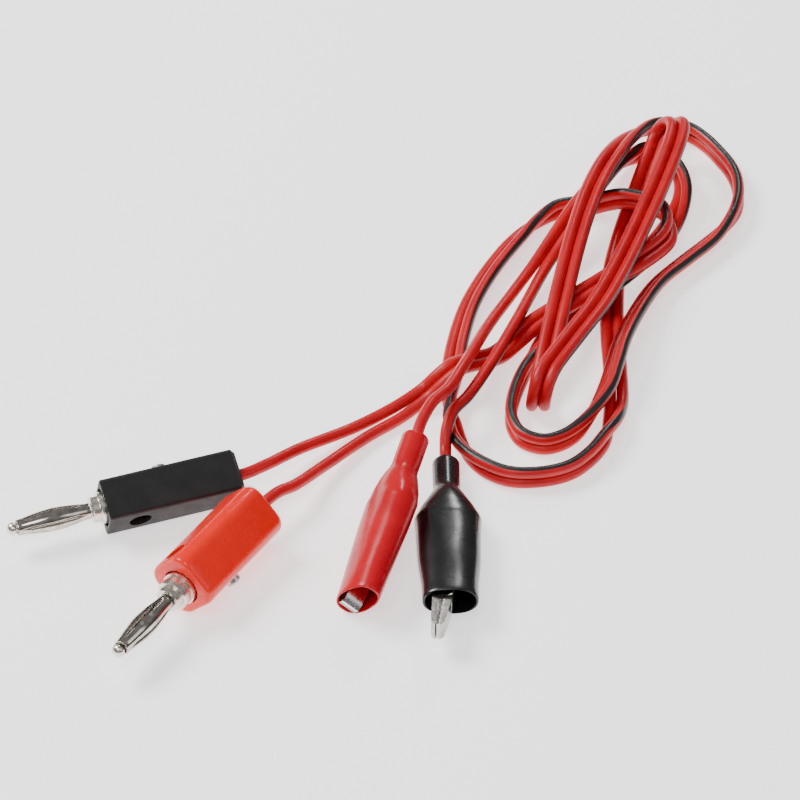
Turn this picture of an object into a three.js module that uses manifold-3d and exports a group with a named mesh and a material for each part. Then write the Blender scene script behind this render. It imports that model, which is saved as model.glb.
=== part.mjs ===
// A pair of laboratory test leads: a flat twin cord, parted at both ends, that joins two
// stackable 4 mm banana plugs to two booted alligator clips. Millimetres, +Z up. The parts
// lie on the plane z = 0, and the origin is under the middle of the plugs and clips.
import * as THREE from 'three';
import { mergeVertices } from 'three/addons/utils/BufferGeometryUtils.js';
import Module from 'manifold-3d';

const wasm = await Module();
wasm.setup();

// ---------------------------------------------------------------- driving dimensions

const GAP = 0.3;                    // clearance between touching pieces

// flat twin cord
const CORE_DIAMETER = 2.3;
const CORE_PITCH = CORE_DIAMETER + GAP;
const CORE_SIDES = 8;
const CORE_STEPS = 128;

// banana plug, along +X, with the front face of the shell at x = 0
const SHELL_LENGTH = 27.5;
const SHELL_BEVEL = 0.7;
const BLACK_SHELL = { width: 8.7, corner: 0.9, front: 0 };
const RED_SHELL = { width: 11.2, corner: 2.8, front: -2.2 };
const BODY_DIAMETER = 7;
const BODY_REAR = -17.6;
const CORD_ENTRY_DIAMETER = CORE_DIAMETER + 2 * GAP + 0.1;
const STACK_HOLE_X = -6.4;
const STACK_HOLE_DIAMETER = 4.1;
const SCREW_X = -12.8;
const SCREW_DIAMETER = 3;
const SCREW_RISE = 1.5;             // how far a head stands out of its shell
const COLLAR_FRONT = 2.4;
const PIN_HEAD_X = 17.9;
const PIN_HEAD_DIAMETER = 2.7;
const CAGE_DIAMETER = 4.5;
const CAGE_WALL = 0.35;
const CAGE_SLOTS = 4;
const CONDUCTOR_DIAMETER = 1.1;

// alligator clip, along +X, with the pivot pin on the local Z axis
const JAW_WIDTH = 3.8;
const JAW_WALL = 0.4;
const JAW_LENGTH = 10.6;
const JAW_DEPTH = 2.1;
const LUG_WIDTH = JAW_WIDTH - 2 * JAW_WALL - 2 * GAP;
const LUG_RADIUS = 1.55;
const EAR_RADIUS = 2.2;
const TOOTH_PITCH = 1.2;
const TOOTH_DEPTH = 0.5;
const PIVOT_DIAMETER = 1.3;
const PIVOT_LENGTH = 4.3;
const CRIMP_LENGTH = 6;
const CRIMP_DIAMETER = 3.1;
const SPRING_RADIUS = 1.2;
const SPRING_WIRE = 0.4;
const SPRING_TURNS = 1.5;

// vinyl boot, along +X, with its mouth at x = 0
const BOOT_LENGTH = 41.2;
const BOOT_WALL = 0.6;
const NECK_RADIUS = 2.75;
const NECK_BORE = 1.5;
const BOOT_FLAT = 0.4;
const PIVOT_IN_BOOT = [-6, -1.2];
const JAW_YAW = THREE.MathUtils.degToRad(8.5);
const CRIMP_REAR_IN_BOOT = -27;
const CORD_END_IN_BOOT = CRIMP_REAR_IN_BOOT - 0.6;
const BLACK_BOOT_FORWARD = -4;      // each boot has been pushed along its clip
const RED_BOOT_FORWARD = 4;

// ---------------------------------------------------------------- solids

function solidOf(geometry) {
  const bare = geometry.clone();
  bare.deleteAttribute('normal');
  bare.deleteAttribute('uv');
  const merged = mergeVertices(bare, 1e-4);
  const triVerts = new Uint32Array(merged.index.array);
  const vertProperties = new Float32Array(merged.attributes.position.array);
  return new wasm.Manifold(new wasm.Mesh({ numProp: 3, vertProperties, triVerts }));
}

function geometryOf(manifold) {
  const mesh = manifold.getMesh();
  const geometry = new THREE.BufferGeometry();
  geometry.setAttribute('position', new THREE.BufferAttribute(mesh.vertProperties, 3));
  geometry.setIndex(new THREE.BufferAttribute(mesh.triVerts, 1));
  geometry.computeVertexNormals();
  return geometry;
}

function cut(geometry, ...tools) {
  return geometryOf(tools.reduce((whole, tool) => whole.subtract(solidOf(tool)), solidOf(geometry)));
}

function join(...geometries) {
  const [first, ...rest] = geometries.map(solidOf);
  return geometryOf(rest.reduce((whole, next) => whole.add(next), first));
}

// a solid of revolution about the X axis from [x, radius] pairs, in order of rising x
function turned(profile, segments = 20) {
  const points = profile.map(([x, radius]) => new THREE.Vector2(radius, x));
  return new THREE.LatheGeometry(points, segments).rotateZ(-Math.PI / 2);
}

function rod(diameter, from, to, segments = 16) {
  return turned([[from, 0], [from, diameter / 2], [to, diameter / 2], [to, 0]], segments);
}

// an outline of [x, y] pairs, extruded to a width centred on z = 0
function plate(outline, width) {
  const shape = new THREE.Shape(outline.map(([x, y]) => new THREE.Vector2(x, y)));
  const geometry = new THREE.ExtrudeGeometry(shape, { depth: width, bevelEnabled: false });
  return geometry.translate(0, 0, -width / 2);
}

function roundedSquare(width, corner) {
  const half = width / 2;
  const shape = new THREE.Shape();
  shape.moveTo(half, half - corner);
  shape.absarc(half - corner, half - corner, corner, 0, Math.PI / 2);
  shape.absarc(corner - half, half - corner, corner, Math.PI / 2, Math.PI);
  shape.absarc(corner - half, corner - half, corner, Math.PI, 1.5 * Math.PI);
  shape.absarc(half - corner, corner - half, corner, 1.5 * Math.PI, 2 * Math.PI);
  return shape;
}

function ngon(radius, sides) {
  const corners = [];
  for (let i = 0; i < sides; i += 1) {
    const angle = (2 * Math.PI * i) / sides;
    corners.push(new THREE.Vector2(radius * Math.cos(angle), radius * Math.sin(angle)));
  }
  return new THREE.Shape(corners);
}

// a smooth path whose steps keep to its points, so that tight bends get more of them
class PointedPath extends THREE.CatmullRomCurve3 {
  getUtoTmapping(u) {
    return u;
  }
}

function tube(points, diameter, sides, steps) {
  const path = new PointedPath(points);
  const options = { steps, extrudePath: path, bevelEnabled: false };
  return new THREE.ExtrudeGeometry(ngon(diameter / 2, sides), options);
}

// ---------------------------------------------------------------- materials

function finish(color, roughness, metalness = 0) {
  return new THREE.MeshStandardMaterial({ color, roughness, metalness });
}

const NICKEL = finish(0xb8ac9c, 0.25, 1);
const COPPER = finish(0xb87348, 0.4, 1);
const STEEL = finish(0x9c9a96, 0.35, 1);
const CORD_RED = finish(0xe63234, 0.45);
const BLACK_PLASTIC = finish(0x262424, 0.6);
const RED_PLASTIC = finish(0xff3322, 0.3);
const BLACK_VINYL = finish(0x181818, 0.25);
const RED_VINYL = finish(0xe8202c, 0.3);

function piece(name, geometry, material) {
  const mesh = new THREE.Mesh(geometry, material);
  mesh.name = name;
  return mesh;
}

// ---------------------------------------------------------------- banana plug

// front is where the shell's front face stands on the plug's own X
function plugShell({ width, corner, front }) {
  const options = {
    depth: SHELL_LENGTH + front - 2 * SHELL_BEVEL,
    bevelThickness: SHELL_BEVEL,
    bevelSize: SHELL_BEVEL,
    bevelOffset: -SHELL_BEVEL,
    bevelSegments: 2,
    curveSegments: 4,
  };
  const block = new THREE.ExtrudeGeometry(roundedSquare(width, corner), options)
    .translate(0, 0, SHELL_BEVEL - SHELL_LENGTH)
    .rotateY(Math.PI / 2);
  const bore = rod(BODY_DIAMETER + 2 * GAP, BODY_REAR - GAP, 1, 24);
  const entry = rod(CORD_ENTRY_DIAMETER, -SHELL_LENGTH - 1, BODY_REAR + 1, 12);
  const stackHole = rod(STACK_HOLE_DIAMETER + 0.4, 0, width)
    .rotateZ(Math.PI / 2)
    .translate(STACK_HOLE_X, 0, 0);
  const screwHole = rod(SCREW_DIAMETER + 2 * GAP, 0, width)
    .rotateZ(-Math.PI / 2)
    .translate(SCREW_X, 0, 0);
  return cut(block, bore, entry, stackHole, screwHole);
}

function plugContact() {
  const body = BODY_DIAMETER / 2;
  const rodRadius = 0.85;
  const head = PIN_HEAD_DIAMETER / 2;
  const turning = turned([
    [BODY_REAR, 0],
    [BODY_REAR, body],
    [-1.4, body],
    [-1.4, 3.2],
    [0.9, 3.2],
    [0.9, 2.6],
    [COLLAR_FRONT, 2.6],
    [COLLAR_FRONT, rodRadius],
    [PIN_HEAD_X - 0.2, rodRadius],
    [PIN_HEAD_X - 0.2, 0.8 * head],
    [PIN_HEAD_X + 0.3, head],
    [PIN_HEAD_X + 0.9, 0.9 * head],
    [PIN_HEAD_X + 1.4, 0.55 * head],
    [PIN_HEAD_X + 1.6, 0],
  ], 20);
  const stackBore = rod(STACK_HOLE_DIAMETER, -2.6, BODY_DIAMETER)
    .rotateZ(Math.PI / 2)
    .translate(STACK_HOLE_X, 0, 0);
  const screwBore = rod(SCREW_DIAMETER + 2 * GAP, 0, BODY_DIAMETER)
    .rotateZ(-Math.PI / 2)
    .translate(SCREW_X, 0, 0);
  const wireBore = rod(CONDUCTOR_DIAMETER + 2 * GAP, BODY_REAR - 1, SCREW_X + 2.4, 12);
  return cut(turning, stackBore, screwBore, wireBore);
}

// four leaves, rolled from one sheet, that bulge between two end rings
function springCage() {
  const rear = COLLAR_FRONT + GAP;
  const front = PIN_HEAD_X - 0.2 - GAP;
  const neck = 1.65;
  const bulge = CAGE_DIAMETER / 2 - neck;
  const stations = 8;
  const outer = [];
  const inner = [];
  for (let i = 0; i <= stations; i += 1) {
    const t = i / stations;
    const x = THREE.MathUtils.lerp(rear, front, t);
    const radius = neck + bulge * Math.sin(Math.PI * THREE.MathUtils.smoothstep(t, 0.08, 0.95));
    outer.push([x, radius]);
    inner.unshift([x, radius - CAGE_WALL]);
  }
  const sleeve = turned([...outer, ...inner, outer[0]], 16);
  const slots = [];
  for (let i = 0; i < CAGE_SLOTS / 2; i += 1) {
    slots.push(new THREE.BoxGeometry(front - rear - 3, 2 * CAGE_DIAMETER, 0.6)
      .translate((front + rear) / 2, 0, 0)
      .rotateX(Math.PI * (0.25 + (2 * i) / CAGE_SLOTS)));
  }
  return cut(sleeve, ...slots);
}

// its axis is the local X axis, and x = 0 is the outer face of the shell
function setScrew() {
  const radius = SCREW_DIAMETER / 2;
  const screw = turned([
    [-3.2, 0],
    [-3.2, 0.7 * radius],
    [-2.7, radius],
    [SCREW_RISE - 0.3, radius],
    [SCREW_RISE, 0.75 * radius],
    [SCREW_RISE, 0],
  ], 16);
  const slot = new THREE.BoxGeometry(1, 2 * SCREW_DIAMETER, 0.6).translate(SCREW_RISE, 0, 0);
  return cut(screw, slot);
}

function bananaPlug(name, shell, shellMaterial) {
  const plug = new THREE.Group();
  const screw = piece(`${name}_set_screw`, setScrew(), STEEL);
  screw.rotation.z = -Math.PI / 2;
  screw.position.set(SCREW_X, -shell.width / 2, 0);
  const conductor = rod(CONDUCTOR_DIAMETER, -20.6, SCREW_X + 1.2, 10);
  plug.add(
    piece(`${name}_shell`, plugShell(shell), shellMaterial),
    piece(`${name}_contact_body`, plugContact(), NICKEL),
    piece(`${name}_spring_cage`, springCage(), NICKEL),
    screw,
    piece(`${name}_conductor`, conductor, COPPER),
  );
  return plug;
}

// ---------------------------------------------------------------- alligator clip

// points along a toothed edge at height y, from one x to another
function toothed(y, from, to) {
  const count = Math.round(Math.abs(to - from) / TOOTH_PITCH);
  const points = [];
  for (let i = 0; i <= 2 * count; i += 1) {
    const side = i % 2 === 0 ? -1 : 1;
    points.push([THREE.MathUtils.lerp(from, to, i / (2 * count)), y + (side * TOOTH_DEPTH) / 2]);
  }
  return points;
}

function arc(radius, fromDegrees, toDegrees, count = 7) {
  const points = [];
  for (let i = 0; i <= count; i += 1) {
    const angle = THREE.MathUtils.degToRad(THREE.MathUtils.lerp(fromDegrees, toDegrees, i / count));
    points.push([radius * Math.cos(angle), radius * Math.sin(angle)]);
  }
  return points;
}

function pivotHole() {
  return new THREE.CylinderGeometry(
    PIVOT_DIAMETER / 2 + GAP, PIVOT_DIAMETER / 2 + GAP, 2 * JAW_WIDTH, 16,
  ).rotateX(Math.PI / 2);
}

// a place given in the boot's frame, carried into the frame of the jaws inside it
function fromBoot(geometry) {
  return geometry.translate(-PIVOT_IN_BOOT[0], -PIVOT_IN_BOOT[1], 0).rotateZ(JAW_YAW);
}

function fixedJaw() {
  const edge = -GAP / 2;
  const channel = plate([
    [-16, -1.9],
    [-12, -JAW_DEPTH],
    [2, -JAW_DEPTH],
    [5, -1.7],
    [8, -1.5],
    [9.9, -1.2],
    [JAW_LENGTH, -0.7],
    ...toothed(edge, JAW_LENGTH, 3.2),
    [2.5, -0.6],
    ...arc(EAR_RADIUS, 0, 180),
    [-2.8, -0.9],
    [-16, -0.9],
  ], JAW_WIDTH);
  const hollow = plate([
    [-17, JAW_WALL - 1.9],
    [-12, JAW_WALL - JAW_DEPTH],
    [2, JAW_WALL - JAW_DEPTH],
    [5, JAW_WALL - 1.7],
    [8, JAW_WALL - 1.5],
    [JAW_LENGTH - 0.5, -0.8],
    [JAW_LENGTH - 0.5, 3],
    [-17, 3],
  ], JAW_WIDTH - 2 * JAW_WALL);
  const crimpFront = CRIMP_REAR_IN_BOOT + CRIMP_LENGTH;
  const barrel = fromBoot(rod(CRIMP_DIAMETER, CRIMP_REAR_IN_BOOT, crimpFront));
  const bore = fromBoot(
    rod(CONDUCTOR_DIAMETER + 2 * GAP, CRIMP_REAR_IN_BOOT - 1, crimpFront + 1, 12),
  );
  return cut(join(cut(channel, hollow, pivotHole()), barrel), bore);
}

function movingJaw() {
  const edge = GAP / 2;
  const front = plate([
    [2.7, 1.9],
    [2.7, 0.7],
    ...toothed(edge, 3.2, JAW_LENGTH),
    [JAW_LENGTH, 0.7],
    [9.9, 1.2],
    [8, 1.5],
    [5, 1.75],
  ], JAW_WIDTH);
  const frontHollow = plate([
    [2, 1.9 - JAW_WALL],
    [2, -2],
    [JAW_LENGTH - 0.5, -2],
    [JAW_LENGTH - 0.5, 0.8],
    [8, 1.5 - JAW_WALL],
    [5, 1.75 - JAW_WALL],
  ], JAW_WIDTH - 2 * JAW_WALL);
  const handle = plate([
    [3.3, 1.9],
    [3.3, 1.1],
    [1.9, 0.6],
    ...arc(LUG_RADIUS, 0, -180),
    [-2.6, 0.9],
    [-13.5, 3.7],
    [-13.5, 4.3],
    [-3, 2],
    [-1, 1.9],
  ], LUG_WIDTH);
  const handleHollow = plate([
    [4, 1.9 - JAW_WALL],
    [4, -2],
    [-14, -2],
    [-14, 4.3 - JAW_WALL],
    [-3, 2 - JAW_WALL],
    [-1, 1.9 - JAW_WALL],
  ], LUG_WIDTH - 2 * JAW_WALL);
  return join(cut(front, frontHollow), cut(handle, handleHollow, pivotHole()));
}

function torsionSpring() {
  const reach = 0.42;
  const points = [[-6, -1.4, -reach], [-3, -1.3, -reach]];
  const count = SPRING_TURNS * 8;
  for (let i = 0; i <= count; i += 1) {
    const angle = -Math.PI / 2 + (2 * Math.PI * SPRING_TURNS * i) / count;
    const z = THREE.MathUtils.lerp(-reach, reach, i / count);
    points.push([SPRING_RADIUS * Math.cos(angle), SPRING_RADIUS * Math.sin(angle), z]);
  }
  points.push([-3.5, 1.35, reach], [-7, 1.8, reach]);
  return tube(vectors(points), SPRING_WIRE, 6, 44);
}

// the boot is turned, then pressed flat across Z from the shoulder to the mouth
function clipBoot() {
  const outer = [
    [-BOOT_LENGTH, NECK_RADIUS],
    [-32.6, NECK_RADIUS],
    [-31.4, 3.2],
    [-28, 4.75],
    [-25.2, 5.95],
    [-23.2, 6.5],
    [-18, 6.4],
    [-12, 6.05],
    [-5, 5.6],
    [0, 5.35],
  ];
  const inner = [
    [0, 5.35 - BOOT_WALL],
    [-5, 5.6 - BOOT_WALL],
    [-12, 6.05 - BOOT_WALL],
    [-18, 6.4 - BOOT_WALL],
    [-23, 6.5 - BOOT_WALL],
    [-24.8, 5.35],
    [-27.6, 4],
    [-30.8, 2.4],
    [-32.2, NECK_BORE],
    [-BOOT_LENGTH, NECK_BORE],
  ];
  const boot = turned([...outer, ...inner, outer[0]], 24);
  const place = boot.attributes.position;
  for (let i = 0; i < place.count; i += 1) {
    const x = place.getX(i);
    const radius = Math.hypot(place.getY(i), place.getZ(i));
    const pressed = THREE.MathUtils.smoothstep(x, -33, -23);
    const flat = 1 - BOOT_FLAT * pressed;
    const squareness = 2 + 0.4 * pressed;
    const across = place.getY(i) / radius;
    const upward = place.getZ(i) / radius;
    place.setY(i, radius * Math.sign(across) * Math.abs(across) ** (2 / squareness));
    place.setZ(i, radius * flat * Math.sign(upward) * Math.abs(upward) ** (2 / squareness));
  }
  return boot;
}

// forward is how far the boot is pushed towards the tips of its jaws
function alligatorClip(name, vinyl, forward) {
  const boot = piece(`${name}_boot`, clipBoot(), vinyl);
  boot.position.x = forward;
  const jaws = new THREE.Group();
  jaws.position.set(...PIVOT_IN_BOOT, 0);
  jaws.rotation.z = -JAW_YAW;
  const pin = rod(PIVOT_DIAMETER, -PIVOT_LENGTH / 2, PIVOT_LENGTH / 2, 16).rotateY(Math.PI / 2);
  jaws.add(
    piece(`${name}_fixed_jaw`, fixedJaw(), NICKEL),
    piece(`${name}_moving_jaw`, movingJaw(), NICKEL),
    piece(`${name}_pivot_pin`, pin, NICKEL),
    piece(`${name}_torsion_spring`, torsionSpring(), STEEL),
  );
  const conductor = rod(
    CONDUCTOR_DIAMETER, CORD_END_IN_BOOT + GAP, CRIMP_REAR_IN_BOOT + CRIMP_LENGTH - 0.5, 10,
  );
  const clip = new THREE.Group();
  clip.add(
    jaws,
    piece(`${name}_conductor`, conductor, COPPER),
    boot,
  );
  return clip;
}

// ---------------------------------------------------------------- flat twin cord

// which way the striped core lies from the plain one; the route turns each square to the cord
const RIGHT = [1, 0, 0];
const RIGHT_UP = [0.85, 0, 0.5];
const UP_RIGHT = [0.6, 0, 0.8];
const UP = [0, 0, 1];
const UP_FRONT = [0.5, -0.5, 0.7];
const LEFT_UP = [-0.6, 0.4, 0.7];
const BACK_LEFT = [-0.6, 0.8, 0];
const FRONT = [0.8, -0.6, 0];
const FRONT_RIGHT = [0.6, -0.5, 0.6];

// the middle of the cord, from where it leaves the clips to where it parts for the plugs
const TWIN_ROUTE = [
  [59.5, 86.5, 4.6, RIGHT],
  [68.5, 102.6, 7.9, RIGHT],
  [75, 117, 4.8, RIGHT_UP],
  [79, 122.8, 3.2, UP_RIGHT],
  [82.3, 125.6, 2.6, UP],
  [86, 125.3, 2.6, UP],
  [88.8, 121, 2.6, UP],
  [90, 112.5, 2.5, UP_RIGHT],
  [86.5, 101, 1.6, FRONT],
  [75, 81, 5, FRONT],
  [64, 73, 1.5, FRONT],
  [59.5, 65, 2.2, FRONT_RIGHT],
  [55, 54, 2.6, UP],
  [52.2, 42, 2.6, UP],
  [54, 35.3, 2.6, UP],
  [59, 33, 2.6, UP],
  [65, 36.5, 2.7, UP],
  [71.5, 47, 5, UP_FRONT],
  [75, 60.5, 5.4, UP_FRONT],
  [83.5, 82.5, 2.6, UP_FRONT],
  [95, 96, 2.5, UP_FRONT],
  [101, 106.5, 2.6, UP],
  [101.5, 116, 2.6, UP],
  [98.5, 124, 2.6, UP],
  [92.5, 132, 2.8, UP],
  [84.5, 132, 4.4, UP_RIGHT],
  [75, 116, 9.6, RIGHT],
  [68.5, 96.5, 10.6, RIGHT],
  [63, 71.5, 8.8, RIGHT],
  [59.4, 54.3, 4.8, RIGHT],
  [58, 47.4, 1.8, RIGHT],
  [57.7, 43.9, 3.1, RIGHT],
  [57.8, 42.5, 6.4, RIGHT],
  [58.6, 43.9, 9.7, RIGHT],
  [60.2, 47.2, 11.1, RIGHT],
  [71, 68, 10.6, RIGHT],
  [80, 92, 10.6, RIGHT],
  [87, 112.5, 12.6, RIGHT],
  [89, 121, 13, RIGHT],
  [88.5, 124.2, 12, RIGHT],
  [87, 125.5, 9.7, RIGHT],
  [85.4, 124.3, 7.4, RIGHT],
  [84.4, 121.5, 6.4, RIGHT],
  [79.3, 107.5, 1.9, RIGHT],
  [74.5, 86.5, 1.3, RIGHT],
  [73.5, 66, 1.4, RIGHT],
  [73.5, 46.5, 1.8, RIGHT],
  [70.8, 34.5, 2.7, UP],
  [63.5, 25.5, 2.5, UP],
  [51.5, 23.5, 2.7, UP],
  [43.5, 30, 2.5, LEFT_UP],
  [40.5, 39.5, 2.7, LEFT_UP],
  [40.5, 53.5, 2.2, RIGHT_UP],
  [44.5, 76.5, 1.9, RIGHT_UP],
  [54.5, 97, 2.2, FRONT_RIGHT],
  [63, 106, 2.7, UP],
  [70, 107.5, 2.7, UP],
  [77, 106.2, 5.6, UP],
  [85, 102, 6, UP],
  [85.5, 92.5, 6.4, LEFT_UP],
  [72, 77.2, 7.6, BACK_LEFT],
  [57.5, 68, 3.9, BACK_LEFT],
  [50, 60.5, 2.2, BACK_LEFT],
  [41, 51, 7, BACK_LEFT],
  [35.2, 48, 3, BACK_LEFT],
];

// each core on its own, from inside its clip to the cord and from the cord into its plug
const STRIPED_TO_CLIP = [
  [39.3, 9, 4.1],
  [39.2, 18, 3.6],
  [39.1, 26.6, 3],
  [39, 30.6, 3.1],
  [39.2, 33.9, 5.2],
  [40.5, 37.8, 6.9],
  [43.5, 42.3, 7],
  [48.3, 52.5, 6.8],
  [54.2, 67.8, 5.9],
];
const PLAIN_TO_CLIP = [
  [30.5, 16.6, 9.5],
  [33.1, 25.7, 10.9],
  [34.3, 30.2, 11.5],
  [36.6, 35.8, 11.6],
  [39.5, 40.2, 10.9],
  [43, 49.2, 9.7],
  [48, 65, 6],
  [53.7, 77.8, 4.6],
];
const STRIPED_TO_PLUG = [
  [29.5, 45, 2.2],
  [21, 38.9, 1.8],
  [10, 30.3, 3.8],
  [4, 24.3, 5.3],
  [-0.7, 21.1, 5.5],
  [-7.9, 18.5, 5.5],
];
const PLAIN_TO_PLUG = [
  [30.6, 42.5, 1.4],
  [23.6, 36.3, 1.6],
  [15, 26, 3.2],
  [9.3, 17.8, 5.6],
  [6.2, 14.9, 6.5],
  [2.7, 10.4, 6.8],
  [-1.5, 4.1, 6.8],
];

function vectors(points) {
  return points.map(([x, y, z]) => new THREE.Vector3(x, y, z));
}

// the core on one side of the cord, at two stations for each point of the route
function coreInCord(sign) {
  const middle = new PointedPath(vectors(TWIN_ROUTE));
  const lies = vectors(TWIN_ROUTE.map((row) => row[3]));
  const sides = new THREE.CatmullRomCurve3(lies, false, 'catmullrom');
  const stations = 2 * (TWIN_ROUTE.length - 1);
  const points = [];
  for (let i = 0; i <= stations; i += 1) {
    const along = middle.getTangent(i / stations);
    const side = sides.getPoint(i / stations).projectOnPlane(along);
    side.setLength((sign * CORE_PITCH) / 2);
    points.push(middle.getPoint(i / stations).add(side));
  }
  return points;
}

function core(name, sign, toClip, toPlug, material) {
  const points = [...vectors(toClip), ...coreInCord(sign), ...vectors(toPlug)];
  return piece(name, tube(points, CORE_DIAMETER, CORE_SIDES, CORE_STEPS), material);
}

// ---------------------------------------------------------------- assembly

function placed(group, position, [yaw, pitch, roll]) {
  const rad = THREE.MathUtils.degToRad;
  group.position.set(...position);
  group.rotation.set(rad(roll), rad(pitch), rad(yaw), 'ZYX');
  return group;
}

// puts the origin under the middle of the plugs and clips
const ORIGIN_SHIFT = [0.3, 1.8, 0];

const leads = new THREE.Group();
leads.position.set(...ORIGIN_SHIFT);
leads.add(
  placed(
    bananaPlug('black_plug', BLACK_SHELL, BLACK_PLASTIC),
    [-27.9, 11.5, 5.55], [199.4, 0, -26],
  ),
  placed(
    bananaPlug('red_plug', RED_SHELL, RED_PLASTIC),
    [-13, -13.7, 6.8], [237, 0, 137],
  ),
  placed(
    alligatorClip('black_clip', BLACK_VINYL, BLACK_BOOT_FORWARD),
    [39.7, -18.6, 5.8], [-89.2, -3.5, 0],
  ),
  placed(
    alligatorClip('red_clip', RED_VINYL, RED_BOOT_FORWARD),
    [23, -9.7, 5.5], [-105.9, 8.3, 50],
  ),
  core('striped_core', 1, STRIPED_TO_CLIP, STRIPED_TO_PLUG, CORD_RED),
  core('plain_core', -1, PLAIN_TO_CLIP, PLAIN_TO_PLUG, CORD_RED),
);

export default leads;
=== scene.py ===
import math
import bmesh
import bpy
from mathutils import Matrix, Vector


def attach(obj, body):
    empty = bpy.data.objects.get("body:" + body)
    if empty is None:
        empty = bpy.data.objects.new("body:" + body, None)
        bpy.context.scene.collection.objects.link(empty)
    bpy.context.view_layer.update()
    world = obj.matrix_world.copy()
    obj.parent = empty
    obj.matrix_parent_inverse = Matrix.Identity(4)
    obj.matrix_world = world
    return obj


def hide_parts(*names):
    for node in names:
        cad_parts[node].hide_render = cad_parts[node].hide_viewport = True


# A pair of laboratory test leads: a flat twin cord, parted at both ends, that joins two
# banana plugs to two booted alligator clips. Shapes are worked out in millimetres, in the
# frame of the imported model, and each mesh is written in metres.

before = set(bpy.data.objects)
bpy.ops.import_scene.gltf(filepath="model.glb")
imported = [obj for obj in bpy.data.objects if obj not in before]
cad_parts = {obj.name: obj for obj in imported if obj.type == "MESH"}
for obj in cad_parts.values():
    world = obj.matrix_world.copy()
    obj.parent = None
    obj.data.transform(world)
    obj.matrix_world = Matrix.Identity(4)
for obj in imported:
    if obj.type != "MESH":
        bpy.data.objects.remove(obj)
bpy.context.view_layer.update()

MM = 0.001
ORIGIN_SHIFT = Vector((0.3, 1.8, 0))
PLUGS = {
    "black": ((-27.9, 11.5, 5.55), (199.4, 0, -26)),
    "red": ((-13, -13.7, 6.8), (237, 0, 137)),
}
CLIPS = {
    "black": ((39.7, -18.6, 5.8), (-89.2, -3.5, 0)),
    "red": ((23, -9.7, 5.5), (-105.9, 8.3, 50)),
}
# how far each boot is pushed towards the tips of its jaws
BOOT_FORWARD = {"black": -4, "red": 4}


# ---------------------------------------------------------------- camera

TARGET = Vector((0.0303, 0.0508, 0))
ELEVATION = math.radians(42)
DISTANCE = 0.9

camera_data = bpy.data.cameras.new("camera")
camera_data.lens = 200.5
camera_data.sensor_width = 36
camera_data.clip_start = 0.05
camera_data.clip_end = 20
camera = bpy.data.objects.new("camera", camera_data)
camera.location = TARGET + DISTANCE * Vector((0, -math.cos(ELEVATION), math.sin(ELEVATION)))
camera.rotation_euler = (math.pi / 2 - ELEVATION, 0, 0)
bpy.context.scene.collection.objects.link(camera)
bpy.context.scene.camera = camera


# ---------------------------------------------------------------- cord route

RIGHT = (1, 0, 0)
RIGHT_UP = (0.85, 0, 0.5)
UP_RIGHT = (0.6, 0, 0.8)
UP = (0, 0, 1)
UP_FRONT = (0.5, -0.5, 0.7)
LEFT_UP = (-0.6, 0.4, 0.7)
BACK_LEFT = (-0.6, 0.8, 0)
FRONT = (0.8, -0.6, 0)
FRONT_RIGHT = (0.6, -0.5, 0.6)

CORE_PITCH = 2.6
CORE_RADIUS = 1.2
TWIN_ROUTE = (
    (59.5, 86.5, 4.6, RIGHT), (68.5, 102.6, 7.9, RIGHT), (75, 117, 4.8, RIGHT_UP),
    (79, 122.8, 3.2, UP_RIGHT), (82.3, 125.6, 2.6, UP), (86, 125.3, 2.6, UP),
    (88.8, 121, 2.6, UP), (90, 112.5, 2.5, UP_RIGHT), (86.5, 101, 1.6, FRONT),
    (75, 81, 5, FRONT), (64, 73, 1.5, FRONT), (59.5, 65, 2.2, FRONT_RIGHT),
    (55, 54, 2.6, UP), (52.2, 42, 2.6, UP), (54, 35.3, 2.6, UP), (59, 33, 2.6, UP),
    (65, 36.5, 2.7, UP), (71.5, 47, 5, UP_FRONT), (75, 60.5, 5.4, UP_FRONT),
    (83.5, 82.5, 2.6, UP_FRONT), (95, 96, 2.5, UP_FRONT), (101, 106.5, 2.6, UP),
    (101.5, 116, 2.6, UP), (98.5, 124, 2.6, UP), (92.5, 132, 2.8, UP),
    (84.5, 132, 4.4, UP_RIGHT), (75, 116, 9.6, RIGHT), (68.5, 96.5, 10.6, RIGHT),
    (63, 71.5, 8.8, RIGHT), (59.4, 54.3, 4.8, RIGHT), (58, 47.4, 1.8, RIGHT),
    (57.7, 43.9, 3.1, RIGHT), (57.8, 42.5, 6.4, RIGHT), (58.6, 43.9, 9.7, RIGHT),
    (60.2, 47.2, 11.1, RIGHT), (71, 68, 10.6, RIGHT), (80, 92, 10.6, RIGHT),
    (87, 112.5, 12.6, RIGHT), (89, 121, 13, RIGHT), (88.5, 124.2, 12, RIGHT),
    (87, 125.5, 9.7, RIGHT), (85.4, 124.3, 7.4, RIGHT), (84.4, 121.5, 6.4, RIGHT),
    (79.3, 107.5, 1.9, RIGHT), (74.5, 86.5, 1.3, RIGHT), (73.5, 66, 1.4, RIGHT),
    (73.5, 46.5, 1.8, RIGHT), (70.8, 34.5, 2.7, UP), (63.5, 25.5, 2.5, UP),
    (51.5, 23.5, 2.7, UP), (43.5, 30, 2.5, LEFT_UP), (40.5, 39.5, 2.7, LEFT_UP),
    (40.5, 53.5, 2.2, RIGHT_UP), (44.5, 76.5, 1.9, RIGHT_UP), (54.5, 97, 2.2, FRONT_RIGHT),
    (63, 106, 2.7, UP), (70, 107.5, 2.7, UP), (77, 106.2, 5.6, UP), (85, 102, 6, UP),
    (85.5, 92.5, 6.4, LEFT_UP), (72, 77.2, 7.6, BACK_LEFT), (57.5, 68, 3.9, BACK_LEFT),
    (50, 60.5, 2.2, BACK_LEFT), (41, 51, 7, BACK_LEFT), (35.2, 48, 3, BACK_LEFT),
)
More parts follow.
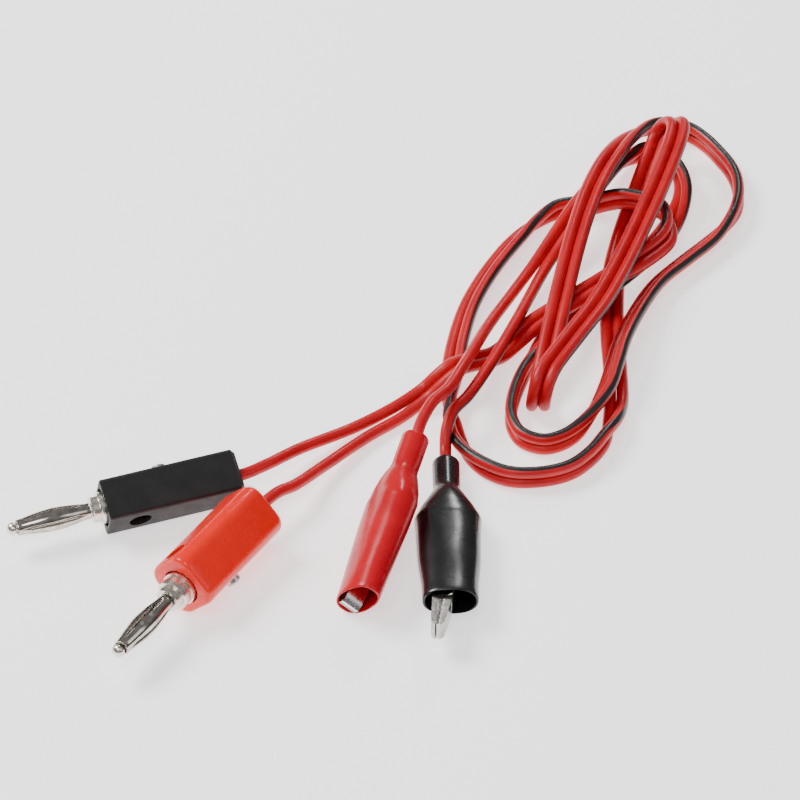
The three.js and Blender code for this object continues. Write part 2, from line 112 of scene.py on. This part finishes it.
STRIPED_TO_CLIP = (
    (39.3, 9, 4.1), (39.2, 18, 3.6), (39.1, 26.6, 3), (39, 30.6, 3.1), (39.2, 33.9, 5.2),
    (40.5, 37.8, 6.9), (43.5, 42.3, 7), (48.3, 52.5, 6.8), (54.2, 67.8, 5.9),
)
PLAIN_TO_CLIP = (
    (30.5, 16.6, 9.5), (33.1, 25.7, 10.9), (34.3, 30.2, 11.5), (36.6, 35.8, 11.6),
    (39.5, 40.2, 10.9), (43, 49.2, 9.7), (48, 65, 6), (53.7, 77.8, 4.6),
)
STRIPED_TO_PLUG = (
    (29.5, 45, 2.2), (21, 38.9, 1.8), (10, 30.3, 3.8), (4, 24.3, 5.3), (-0.7, 21.1, 5.5),
    (-7.9, 18.5, 5.5),
)
PLAIN_TO_PLUG = (
    (30.6, 42.5, 1.4), (23.6, 36.3, 1.6), (15, 26, 3.2), (9.3, 17.8, 5.6), (6.2, 14.9, 6.5),
    (2.7, 10.4, 6.8), (-1.5, 4.1, 6.8),
)


def with_ends(points):
    return [2 * points[0] - points[1], *points, 2 * points[-1] - points[-2]]


def hermite(p1, p2, t1, t2, u):
    return (
        (2 * u**3 - 3 * u**2 + 1) * p1 + (u**3 - 2 * u**2 + u) * t1
        + (3 * u**2 - 2 * u**3) * p2 + (u**3 - u**2) * t2
    )


def on_path(points, i, u):
    """A place on the smooth path through points, u of the way from point i to the next."""
    p0, p1, p2, p3 = with_ends(points)[i:i + 4]
    d0 = math.sqrt((p1 - p0).length)
    d1 = math.sqrt((p2 - p1).length)
    d2 = math.sqrt((p3 - p2).length)
    t1 = ((p1 - p0) / d0 - (p2 - p0) / (d0 + d1) + (p2 - p1) / d1) * d1
    t2 = ((p2 - p1) / d1 - (p3 - p1) / (d1 + d2) + (p3 - p2) / d2) * d1
    return hermite(p1, p2, t1, t2, u)


def on_sides(sides, i, u):
    p0, p1, p2, p3 = with_ends(sides)[i:i + 4]
    return hermite(p1, p2, (p2 - p0) / 2, (p3 - p1) / 2, u)


def square_to(vector, along):
    along = along.normalized()
    return (vector - vector.dot(along) * along).normalized()


def core_stations(sign, to_clip, to_plug):
    """The core's points, with its outer side and whether it lies beside the other core."""
    route = [Vector(row[:3]) for row in TWIN_ROUTE]
    sides = [Vector(row[3]) for row in TWIN_ROUTE]
    points = []
    outward = []
    for k in range(2 * len(route) - 1):
        i = min(k // 2, len(route) - 2)
        u = k / 2 - i
        along = on_path(route, i, min(u + 0.01, 1)) - on_path(route, i, max(u - 0.01, 0))
        side = sign * square_to(on_sides(sides, i, u), along)
        points.append(on_path(route, i, u) + side * CORE_PITCH / 2)
        outward.append(side)
    joined = [0] * len(to_clip) + [1] * len(points) + [0] * len(to_plug)
    points = [Vector(p) for p in to_clip] + points + [Vector(p) for p in to_plug]
    first = outward[0]
    last = outward[-1]
    head = []
    for k in range(len(to_clip) - 1, -1, -1):
        first = square_to(first, points[k + 1] - points[k])
        head.insert(0, first)
    tail = []
    for k in range(len(points) - len(to_plug), len(points)):
        last = square_to(last, points[k] - points[k - 1])
        tail.append(last)
    return points, head + outward + tail, joined


def core_rings(stations, step=0.8):
    """Close stations along the core: place, direction, outer side and how far it is joined."""
    points, outward, joined = stations
    rings = []
    for i in range(len(points) - 1):
        count = max(2, math.ceil((points[i + 1] - points[i]).length / step))
        for k in range(count):
            u = k / count
            place = on_path(points, i, u)
            along = on_path(points, i, u + 0.02) - place
            out = square_to(outward[i].lerp(outward[i + 1], u), along)
            web = joined[i] + (joined[i + 1] - joined[i]) * (3 * u**2 - 2 * u**3)
            rings.append((place, along.normalized(), out, web))
    end = points[-1]
    along = (end - rings[-1][0]).normalized()
    rings.append((end, along, square_to(outward[-1], along), 0))
    return rings


# ---------------------------------------------------------------- meshes

def mesh_object(name, points, faces, place=None):
    """points in millimetres, carried by place into the frame, written in metres."""
    mesh = bpy.data.meshes.new(name)
    shift = place or Matrix.Translation(ORIGIN_SHIFT)
    mesh.from_pydata([MM * (shift @ Vector(p)) for p in points], [], faces)
    cleaned = bmesh.new()
    cleaned.from_mesh(mesh)
    bmesh.ops.remove_doubles(cleaned, verts=cleaned.verts, dist=2e-7)
    bmesh.ops.recalc_face_normals(cleaned, faces=cleaned.faces)
    cleaned.to_mesh(mesh)
    cleaned.free()
    piece = bpy.data.objects.new(name, mesh)
    bpy.context.scene.collection.objects.link(piece)
    return piece


def smooth(piece, degrees=35):
    piece.data.shade_smooth()
    piece.data.set_sharp_from_angle(angle=math.radians(degrees))
    return piece


def ringed(rings, closed=False):
    """Faces that join rings of the same number of points, with both ends filled."""
    count = len(rings[0])
    points = [p for ring in rings for p in ring]
    faces = []
    for i in range(len(rings) if closed else len(rings) - 1):
        a = i * count
        b = ((i + 1) % len(rings)) * count
        faces += [(a + j, a + (j + 1) % count, b + (j + 1) % count, b + j) for j in range(count)]
    if not closed:
        faces.append(tuple(range(count))[::-1])
        faces.append(tuple((len(rings) - 1) * count + j for j in range(count)))
    return points, faces


def turned(profile, segments=64, closed=False):
    """A solid of revolution about X from (x, radius) pairs."""
    rings = []
    for x, radius in profile:
        angles = [2 * math.pi * j / segments for j in range(segments)]
        rings.append([Vector((x, radius * math.cos(a), radius * math.sin(a))) for a in angles])
    return ringed(rings, closed)


def placed(position, angles):
    yaw, pitch, roll = (math.radians(a) for a in angles)
    turn = Matrix.Rotation(yaw, 4, "Z") @ Matrix.Rotation(pitch, 4, "Y")
    turn = turn @ Matrix.Rotation(roll, 4, "X")
    return Matrix.Translation(Vector(position) + ORIGIN_SHIFT) @ turn


def carve(piece, *tools):
    """Takes each tool's shape out of the piece, and removes the tool."""
    for tool in tools:
        cut = piece.modifiers.new("cut", "BOOLEAN")
        cut.operation = "DIFFERENCE"
        cut.solver = "EXACT"
        cut.object = tool
    finished = piece.evaluated_get(bpy.context.evaluated_depsgraph_get())
    mesh = bpy.data.meshes.new_from_object(finished)
    piece.modifiers.clear()
    piece.data = mesh
    for tool in tools:
        bpy.data.objects.remove(tool)
    return piece


def soften(piece, width, segments=2, degrees=35):
    edges = piece.modifiers.new("soft_edges", "BEVEL")
    edges.width = width * MM
    edges.segments = segments
    edges.limit_method = "ANGLE"
    edges.angle_limit = math.radians(degrees)
    return piece


def tool(place, diameter, start, end, axis="X", across=0):
    """A round cutting tool, along the plug's own X, or along its Y at a place on X."""
    points, faces = turned([(start, diameter / 2), (end, diameter / 2)], 48)
    if axis == "Y":
        points = [Vector((across - p.y, p.x, p.z)) for p in points]
    return mesh_object("tool", points, faces, place)


def from_cad(node, edge=0.08):
    """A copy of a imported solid, with its hard edges softened."""
    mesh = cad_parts[node].data.copy()
    mesh.materials.clear()
    cleaned = bmesh.new()
    cleaned.from_mesh(mesh)
    bmesh.ops.remove_doubles(cleaned, verts=cleaned.verts, dist=1e-6)
    bmesh.ops.dissolve_limit(
        cleaned, angle_limit=math.radians(1), verts=cleaned.verts, edges=cleaned.edges,
    )
    cleaned.to_mesh(mesh)
    cleaned.free()
    piece = bpy.data.objects.new(node + "_finished", mesh)
    bpy.context.scene.collection.objects.link(piece)
    smooth(piece, 32)
    soften(piece, edge)
    return piece


# ---------------------------------------------------------------- materials

class Nodes:
    """A principled material with its pattern nodes."""

    def __init__(self, name, roughness, metallic=0.0, **sockets):
        self.material = bpy.data.materials.new(name)
        self.material.use_nodes = True
        self.tree = self.material.node_tree
        self.shader = self.tree.nodes["Principled BSDF"]
        self.shader.inputs["Roughness"].default_value = roughness
        self.shader.inputs["Metallic"].default_value = metallic
        for key, value in sockets.items():
            self.shader.inputs[key.replace("_", " ")].default_value = value
        self.place = self.add("ShaderNodeTexCoord").outputs["Object"]

    def add(self, kind, **inputs):
        node = self.tree.nodes.new(kind)
        for key, value in inputs.items():
            node.inputs[key.replace("_", " ")].default_value = value
        return node

    def link(self, source, target):
        self.tree.links.new(source, target)

    def noise(self, per_metre, detail=4, stretch=None):
        node = self.add("ShaderNodeTexNoise", Scale=per_metre, Detail=detail, Roughness=0.55)
        place = self.place
        if stretch:
            mapping = self.add("ShaderNodeMapping", Scale=stretch)
            self.link(place, mapping.inputs["Vector"])
            place = mapping.outputs["Vector"]
        self.link(place, node.inputs["Vector"])
        return node.outputs["Fac"]

    def ramp(self, factor, stops):
        node = self.add("ShaderNodeValToRGB")
        ramp = node.color_ramp
        while len(ramp.elements) < len(stops):
            ramp.elements.new(0.5)
        for element, (position, color) in zip(ramp.elements, stops):
            element.position = position
            element.color = (*color, 1)
        self.link(factor, node.inputs["Fac"])
        return node.outputs["Color"]

    def spread(self, factor, low, high):
        node = self.add("ShaderNodeMapRange", From_Min=0.3, From_Max=0.7, To_Min=low, To_Max=high)
        self.link(factor, node.inputs["Value"])
        return node.outputs["Result"]

    def mix(self, factor, a, b):
        node = self.tree.nodes.new("ShaderNodeMix")
        node.data_type = "RGBA"
        self.link(factor, node.inputs["Factor"])
        for source, name in ((a, "A"), (b, "B")):
            target = [s for s in node.inputs if s.name == name and s.type == "RGBA"][0]
            if isinstance(source, tuple):
                target.default_value = (*source, 1)
            else:
                self.link(source, target)
        return [s for s in node.outputs if s.type == "RGBA"][0]

    def color(self, source):
        self.link(source, self.shader.inputs["Base Color"])

    def rough(self, source):
        self.link(source, self.shader.inputs["Roughness"])

    def bump(self, height, strength, distance):
        node = self.add("ShaderNodeBump", Strength=strength, Distance=distance)
        self.link(height, node.inputs["Height"])
        self.link(node.outputs["Normal"], self.shader.inputs["Normal"])

    def edges(self, low=0.52, high=0.6):
        """Where the surface is a raised edge, from 0 to 1."""
        point = self.add("ShaderNodeNewGeometry").outputs["Pointiness"]
        node = self.add("ShaderNodeMapRange", From_Min=low, From_Max=high)
        self.link(point, node.inputs["Value"])
        return node.outputs["Result"]


def vinyl(name, deep, bright, worn, roughness, sheen_bump, **sockets):
    """Soft moulded plastic: cloudy colour, faint scuffs and a slightly uneven skin."""
    m = Nodes(name, roughness, **sockets)
    cloud = m.ramp(m.noise(180, 3), ((0.3, deep), (0.7, bright)))
    scuff = m.spread(m.noise(600, 4), 0, 0.05)
    m.color(m.mix(scuff, cloud, worn))
    m.rough(m.spread(m.noise(160, 2), roughness * 0.9, roughness * 1.15))
    m.bump(m.noise(sheen_bump[0], 1), *sheen_bump[1:])
    return m.material


def moulded(name, deep, bright, worn, roughness, grain, **sockets):
    """Hard moulded plastic: fine grain and rubbed edges."""
    m = Nodes(name, roughness, **sockets)
    cloud = m.ramp(m.noise(260, 4), ((0.3, deep), (0.7, bright)))
    m.color(m.mix(m.edges(0.54, 0.7), cloud, worn))
    m.rough(m.spread(m.noise(300, 3), roughness * 0.9, roughness * 1.15))
    m.bump(m.noise(grain[0], 2), grain[1], grain[2])
    return m.material


def metal(name, deep, bright, worn, roughness, grain):
    """Plated or bare metal: clouded colour, faint on the pale metals and painted reflection of dark
    surroundings on the dark-clouded ones, drawn marks and brighter rubbed edges.
    """
    m = Nodes(name, roughness, 1.0)
    # the cloud ramp: faint tone on the pale metals, painted reflection of dark surroundings where
    # the deep colour is dark (bright nickel, jaw plating)
    cloud = m.ramp(m.noise(700, 5), ((0.25, deep), (0.75, bright)))
    m.color(m.mix(m.edges(0.53, 0.62), cloud, worn))
    m.rough(m.spread(m.noise(2600, 6, (1, 6, 1)), roughness * 0.6, roughness * 1.5))
    m.bump(m.noise(grain[0], 4, (1, 5, 1)), grain[1], grain[2])
    return m.material


CORD_RED = vinyl(
    "cord_red", (0.46, 0.002, 0.008), (0.58, 0.004, 0.010), (0.62, 0.02, 0.03), 0.38,
    (900, 0.08, 0.00005), Specular_IOR_Level=0.35,
)
CORD_STRIPE = vinyl(
    "cord_stripe", (0.006, 0.007, 0.008), (0.016, 0.018, 0.018), (0.06, 0.06, 0.06), 0.36,
    (900, 0.12, 0.0001),
)
BLACK_SHELL = moulded(
    "black_shell_plastic", (0.0075, 0.0075, 0.0078), (0.013, 0.0128, 0.0128), (0.05, 0.05, 0.05),
    0.5, (2600, 0.3, 0.00012), Specular_IOR_Level=0.3,
)
RED_SHELL = moulded(
    "red_shell_plastic", (0.88, 0.008, 0.001), (0.94, 0.012, 0.002), (0.95, 0.04, 0.02), 0.26,
    (300, 0.03, 0.00006), Specular_IOR_Level=0.35, Coat_Weight=0.15, Coat_Roughness=0.12,
)
BLACK_BOOT = vinyl(
    "black_boot_vinyl", (0.0035, 0.0035, 0.004), (0.008, 0.008, 0.009), (0.03, 0.03, 0.032), 0.26,
    (150, 0.05, 0.0001), Coat_Weight=0.25, Coat_Roughness=0.16,
)
RED_BOOT = vinyl(
    "red_boot_vinyl", (0.50, 0.001, 0.010), (0.60, 0.002, 0.013), (0.65, 0.02, 0.03), 0.26,
    (150, 0.05, 0.0001), Specular_IOR_Level=0.28, Coat_Weight=0.08, Coat_Roughness=0.14,
)
# bright nickel: the dark patches of its cloud colour are painted reflection of dark surroundings
NICKEL = metal(
    "bright_nickel", (0.34, 0.30, 0.27), (0.72, 0.67, 0.60), (0.9, 0.87, 0.82), 0.13,
    (1800, 0.06, 0.00005),
)
COLLAR_NICKEL = metal(
    "pale_nickel", (0.70, 0.66, 0.58), (0.82, 0.78, 0.70), (0.95, 0.93, 0.88), 0.26,
    (1800, 0.06, 0.00005),
)
# jaw plating: the dark patches of its cloud colour are painted reflection of dark surroundings
JAW_STEEL = metal(
    "pressed_nickel_steel", (0.16, 0.145, 0.13), (0.52, 0.49, 0.45), (0.8, 0.78, 0.75), 0.22,
    (1500, 0.1, 0.00006),
)
DARK_STEEL = metal(
    "zinc_steel", (0.42, 0.42, 0.42), (0.58, 0.58, 0.57), (0.85, 0.85, 0.84), 0.3,
    (1500, 0.15, 0.00006),
)
COPPER = metal(
    "copper_strands", (0.62, 0.28, 0.14), (0.78, 0.38, 0.2), (0.9, 0.55, 0.35), 0.35,
    (2600, 0.3, 0.0001),
)


def dress(piece, material, slot, body, *nodes):
    """Finishes a piece: its material, the body it rides on, what it replaces; the slot argument is
    not used.
    """
    piece.data.materials.clear()
    piece.data.materials.append(material)
    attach(piece, body)
    if nodes:
        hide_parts(*nodes)
    return piece


# ---------------------------------------------------------------- cord

AROUND = 36
# faces on each side of the core's outermost line
STRIPE_FACES = 3
# height, and half width in radians, of the ridge that meets the other core's
WEB_RIDGE = 0.1
WEB_SPREAD = 0.36


def core_piece(name, stations, striped):
    rings = core_rings(stations)
    loops = []
    for place, along, out, web in rings:
        over = along.cross(out)
        loop = []
        for j in range(AROUND):
            angle = 2 * math.pi * j / AROUND
            from_inside = abs(angle - math.pi)
            radius = CORE_RADIUS + WEB_RIDGE * web * math.exp(-((from_inside / WEB_SPREAD) ** 2))
            loop.append(place + radius * (math.cos(angle) * out + math.sin(angle) * over))
        loops.append(loop)
    points, faces = ringed(loops)
    piece = mesh_object(name, points, faces)
    smooth(piece, 60)
    dress(piece, CORD_RED, "cord_red", "leads", name.replace("_cord", ""))
    if striped:
        piece.data.materials.append(CORD_STRIPE)
        for k in range((len(loops) - 1) * AROUND):
            j = k % AROUND
            if j < STRIPE_FACES or j >= AROUND - STRIPE_FACES:
                piece.data.polygons[k].material_index = 1
    centres = [MM * (ring[0] + ORIGIN_SHIFT) for ring in rings]
    return piece, centres


striped_cord, striped_path = core_piece(
    "striped_core_cord", core_stations(1, STRIPED_TO_CLIP, STRIPED_TO_PLUG), True,
)
plain_cord, plain_path = core_piece(
    "plain_core_cord", core_stations(-1, PLAIN_TO_CLIP, PLAIN_TO_PLUG), False,
)


# ---------------------------------------------------------------- banana plugs

STACK_HOLE_X = -6.4
STACK_HOLE = 4.1
SHELL_STACK_HOLE = 4.5
SCREW_X = -12.8
SCREW_HOLE = 3.6
BODY_REAR = -17.6
BODY_BORE = 7.6
CORD_ENTRY = 3
WIRE_BORE = 1.7


def rounded_square(x, half, corner, steps=8):
    ring = []
    for quarter in range(4):
        turn = quarter * math.pi / 2
        middle = Vector((half - corner, half - corner))
        for k in range(steps + 1):
            angle = k * math.pi / 2 / steps
            y = middle.x + corner * math.cos(angle)
            z = middle.y + corner * math.sin(angle)
            ring.append(Vector((
                x, y * math.cos(turn) - z * math.sin(turn), y * math.sin(turn) + z * math.cos(turn),
            )))
    return ring


def plug_shell(name, place, half, corner, ends):
    rings = [rounded_square(x, half - inset, max(corner - 0.6 * inset, 0.25)) for x, inset in ends]
    points, faces = ringed(rings)
    shell = mesh_object(name, points, faces, place)
    carve(
        shell,
        tool(place, BODY_BORE, BODY_REAR - 0.3, 2),
        tool(place, CORD_ENTRY, -30, BODY_REAR + 1),
        tool(place, SHELL_STACK_HOLE, 0, 9, "Y", STACK_HOLE_X),
        tool(place, SCREW_HOLE, -9, 0, "Y", SCREW_X),
    )
    smooth(shell, 30)
    return soften(shell, 0.1, 2, 40)


def plug_body(name, place):
    points, faces = turned((
        (BODY_REAR, 0.01), (BODY_REAR, 3.4), (-17.5, 3.5), (-1.4, 3.5), (-1.4, 3.05), (-1.25, 3.2),
        (0.72, 3.2), (0.9, 3.05), (0.9, 2.6), (2.25, 2.6), (2.4, 2.45), (2.4, 0.85),
        (17.7, 0.85), (17.7, 1.05), (17.82, 1.22), (18.0, 1.32), (18.2, 1.35), (18.45, 1.33),
        (18.7, 1.25), (18.95, 1.1), (19.15, 0.9), (19.32, 0.62), (19.44, 0.32), (19.5, 0.01),
    ))
    body = mesh_object(name, points, faces, place)
    carve(
        body,
        tool(place, STACK_HOLE, -2.6, 7, "Y", STACK_HOLE_X),
        tool(place, SCREW_HOLE, -7, 0, "Y", SCREW_X),
        tool(place, WIRE_BORE, -19, -10.4),
    )
    return smooth(body, 30)


def spring_cage(name, place):
    """Four rolled leaves with lens-shaped slots between them, gathered at both ends."""
    stations = 56
    across = 14
    start = 2.7
    end = 17.4
    sheet = 0.3
    points = []
    faces = []
    for leaf in range(4):
        base = len(points)
        for i in range(stations + 1):
            t = i / stations
            x = start + (end - start) * t
            s = min(max((t - 0.05) / 0.9, 0), 1)
            swell = math.sin(math.pi * (0.5 * s + 0.5 * s * s * (3 - 2 * s))) ** 0.9
            radius = 1.62 + 0.7 * swell
            slot = 0.34 * min(max((t - 0.08) / 0.12, 0), 1) * min(max((0.93 - t) / 0.12, 0), 1)
            half = math.pi / 4 - slot / radius
            for k in range(across + 1):
                v = 2 * k / across - 1
                angle = leaf * math.pi / 2 + half * v
                flat = radius * (1 - 0.07 * swell * (1 - math.cos(half * v * 1.5)))
                points.append(Vector((x, flat * math.cos(angle), flat * math.sin(angle))))
        for i in range(stations):
            for k in range(across):
                a = base + i * (across + 1) + k
                b = a + across + 1
                faces.append((a, a + 1, b + 1, b))
    cage = mesh_object(name, points, faces, place)
    thick = cage.modifiers.new("sheet", "SOLIDIFY")
    thick.thickness = sheet * MM
    thick.offset = -1
    smooth(cage, 50)
    return soften(cage, 0.06, 2, 50)


# half width, corner radius, then (x, inset) along each shell: the black one is crisp in
# front and chamfered behind, and the red one is rounded at both ends
SHELL_FORMS = {
    "black": (4.35, 0.8, (
        (-27.5, 0.75), (-26.75, 0), (-20, 0), (-8, 0), (-0.2, 0), (0, 0.2),
    )),
    "red": (5.6, 2.9, (
        (-27.5, 0.9), (-27.2, 0.42), (-26.7, 0.12), (-26.1, 0), (-15, 0.06), (-5, 0),
        (-3.1, -0.03), (-2.6, 0.1), (-2.32, 0.36), (-2.2, 0.75),
    )),
}
SHELL_LOOKS = {"black": (BLACK_SHELL, "black_shell"), "red": (RED_SHELL, "red_shell")}

for tint, (position, angles) in PLUGS.items():
    at = placed(position, angles)
    half, corner, ends = SHELL_FORMS[tint]
    look, slot = SHELL_LOOKS[tint]
    dress(
        plug_shell(f"{tint}_shell_moulding", at, half, corner, ends),
        look, slot, "leads", f"{tint}_plug_shell",
    )
    dress(
        plug_body(f"{tint}_plug_turning", at),
        COLLAR_NICKEL, "plug_nickel", "leads", f"{tint}_plug_contact_body",
    )
    dress(
        spring_cage(f"{tint}_spring_leaves", at),
        NICKEL, "plug_nickel", f"{tint}_spring_cage", f"{tint}_plug_spring_cage",
    )
    dress(
        from_cad(f"{tint}_plug_set_screw"),
        DARK_STEEL, "steel", f"{tint}_set_screw", f"{tint}_plug_set_screw",
    )


# ---------------------------------------------------------------- alligator clips

# the boot is pressed flatter across Z, squarer and slightly uneven from its shoulder forward
BOOT_PRESSED_FROM = -33
BOOT_PRESSED_FULLY = -23
BOOT_FLAT = 0.4
BOOT_SQUARE = 0.4
BOOT_SAG = 0.08
BOOT_OUTER = (
    (-41.2, 2.5), (-41.13, 2.66), (-40.95, 2.75), (-33.4, 2.75), (-32.6, 2.8), (-31.9, 2.98),
    (-31.2, 3.28), (-28, 4.75), (-26.4, 5.5), (-25.2, 5.95), (-24.3, 6.3), (-23.6, 6.5),
    (-23.2, 6.54), (-22.8, 6.5), (-18, 6.4), (-12, 6.05), (-5, 5.6), (-0.5, 5.4),
    (-0.2, 5.33), (-0.05, 5.2), (0, 5.05),
)
BOOT_INNER = (
    (-0.05, 4.9), (-0.25, 4.8), (-0.6, 4.78), (-5, 5), (-12, 5.45), (-18, 5.8), (-23, 5.9),
    (-24.8, 5.35), (-27.6, 4), (-30.8, 2.4), (-32.2, 1.5), (-41, 1.5), (-41.2, 1.6),
)


def ease(x, low, high):
    t = min(max((x - low) / (high - low), 0), 1)
    return t * t * (3 - 2 * t)


def finer(profile, step=0.8):
    out = []
    for (x0, r0), (x1, r1) in zip(profile, profile[1:]):
        count = max(1, math.ceil(abs(x1 - x0) / step))
        out += [(x0 + (x1 - x0) * k / count, r0 + (r1 - r0) * k / count) for k in range(count)]
    return out + [profile[-1]]


def clip_boot(name, place, forward, wobble):
    points, faces = turned(finer(BOOT_OUTER) + finer(BOOT_INNER), 96, closed=True)
    shaped = []
    for p in points:
        radius = math.hypot(p.y, p.z)
        pressed = ease(p.x, BOOT_PRESSED_FROM, BOOT_PRESSED_FULLY)
        flat = 1 - BOOT_FLAT * pressed
        power = 2 / (2 + BOOT_SQUARE * pressed)
        across = p.y / radius
        upward = p.z / radius
        y = radius * math.copysign(abs(across) ** power, across)
        z = radius * flat * math.copysign(abs(upward) ** power, upward)
        swing = math.sin(0.45 * p.x + wobble) * math.cos(2 * math.atan2(z, y))
        sag = BOOT_SAG * pressed * swing / 6
        shaped.append(Vector((p.x + forward, y * (1 + sag), z * (1 - sag))))
    boot = mesh_object(name, shaped, faces, place)
    return smooth(boot, 40)


BOOT_LOOKS = {"black": (BLACK_BOOT, "black_vinyl", 0.4), "red": (RED_BOOT, "red_vinyl", 1.9)}

for tint, (position, angles) in CLIPS.items():
    at = placed(position, angles)
    look, slot, wobble = BOOT_LOOKS[tint]
    dress(
        clip_boot(f"{tint}_boot_sleeve", at, BOOT_FORWARD[tint], wobble),
        look, slot, f"{tint}_boot", f"{tint}_clip_boot",
    )
    dress(
        from_cad(f"{tint}_clip_fixed_jaw", 0.09),
        JAW_STEEL, "clip_nickel", "leads", f"{tint}_clip_fixed_jaw",
    )
    dress(
        from_cad(f"{tint}_clip_moving_jaw", 0.09),
        JAW_STEEL, "clip_nickel", f"{tint}_jaw", f"{tint}_clip_moving_jaw",
    )

CARRIED_OVER = {
    "plug_conductor": COPPER,
    "clip_conductor": COPPER,
    "clip_pivot_pin": JAW_STEEL,
    "clip_torsion_spring": DARK_STEEL,
}
for tint in ("black", "red"):
    for part, look in CARRIED_OVER.items():
        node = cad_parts[f"{tint}_{part}"]
        node.data.materials.clear()
        node.data.materials.append(look)


# ---------------------------------------------------------------- floor, light

def stage_material():
    m = Nodes("pale_floor", 0.75)
    m.color(m.ramp(m.noise(3, 2), ((0.3, (0.93, 0.93, 0.93)), (0.7, (0.95, 0.95, 0.95)))))
    m.shader.inputs["Emission Color"].default_value = (1, 1, 1, 1)
    m.shader.inputs["Emission Strength"].default_value = 1.15
    return m.material


FLOOR_REACH = 4000
floor_corners = [
    (x * FLOOR_REACH, y * FLOOR_REACH, 0) for x, y in ((-1, -1), (1, -1), (1, 1), (-1, 1))
]
floor = mesh_object("floor", floor_corners, [(0, 1, 2, 3)])
floor.data.materials.append(stage_material())


def softbox(name, position, size, power, color=(1, 1, 1)):
    data = bpy.data.lights.new(name, "AREA")
    data.shape = "RECTANGLE"
    data.size, data.size_y = size
    data.energy = power
    data.color = color
    light = bpy.data.objects.new(name, data)
    light.location = position
    light.rotation_euler = (TARGET - Vector(position)).to_track_quat("-Z", "Y").to_euler()
    bpy.context.scene.collection.objects.link(light)


softbox("key", (-0.6, 0.35, 0.8), (0.5, 0.4), 13, (1, 0.99, 0.97))
softbox("fill", (0.8, -0.35, 0.7), (0.6, 0.6), 1.5, (0.97, 0.98, 1))
softbox("back", (0.2, 1, 0.62), (0.12, 0.3), 2.2)
softbox("front", (-0.15, -0.6, 1.1), (0.5, 0.5), 5)

world = bpy.data.worlds.new("studio")
bpy.context.scene.world = world
world.use_nodes = True
tree = world.node_tree
background = tree.nodes["Background"]
direction = tree.nodes.new("ShaderNodeTexCoord")
axes = tree.nodes.new("ShaderNodeSeparateXYZ")
height = tree.nodes.new("ShaderNodeValToRGB")
tree.links.new(direction.outputs["Generated"], axes.inputs["Vector"])
tree.links.new(axes.outputs["Z"], height.inputs["Fac"])
tree.links.new(height.outputs["Color"], background.inputs["Color"])
height.color_ramp.elements[0].position = 0.05
height.color_ramp.elements[0].color = (0.12, 0.12, 0.13, 1)
height.color_ramp.elements[1].position = 0.6
height.color_ramp.elements[1].color = (1, 1, 1, 1)
background.inputs["Strength"].default_value = 0.25
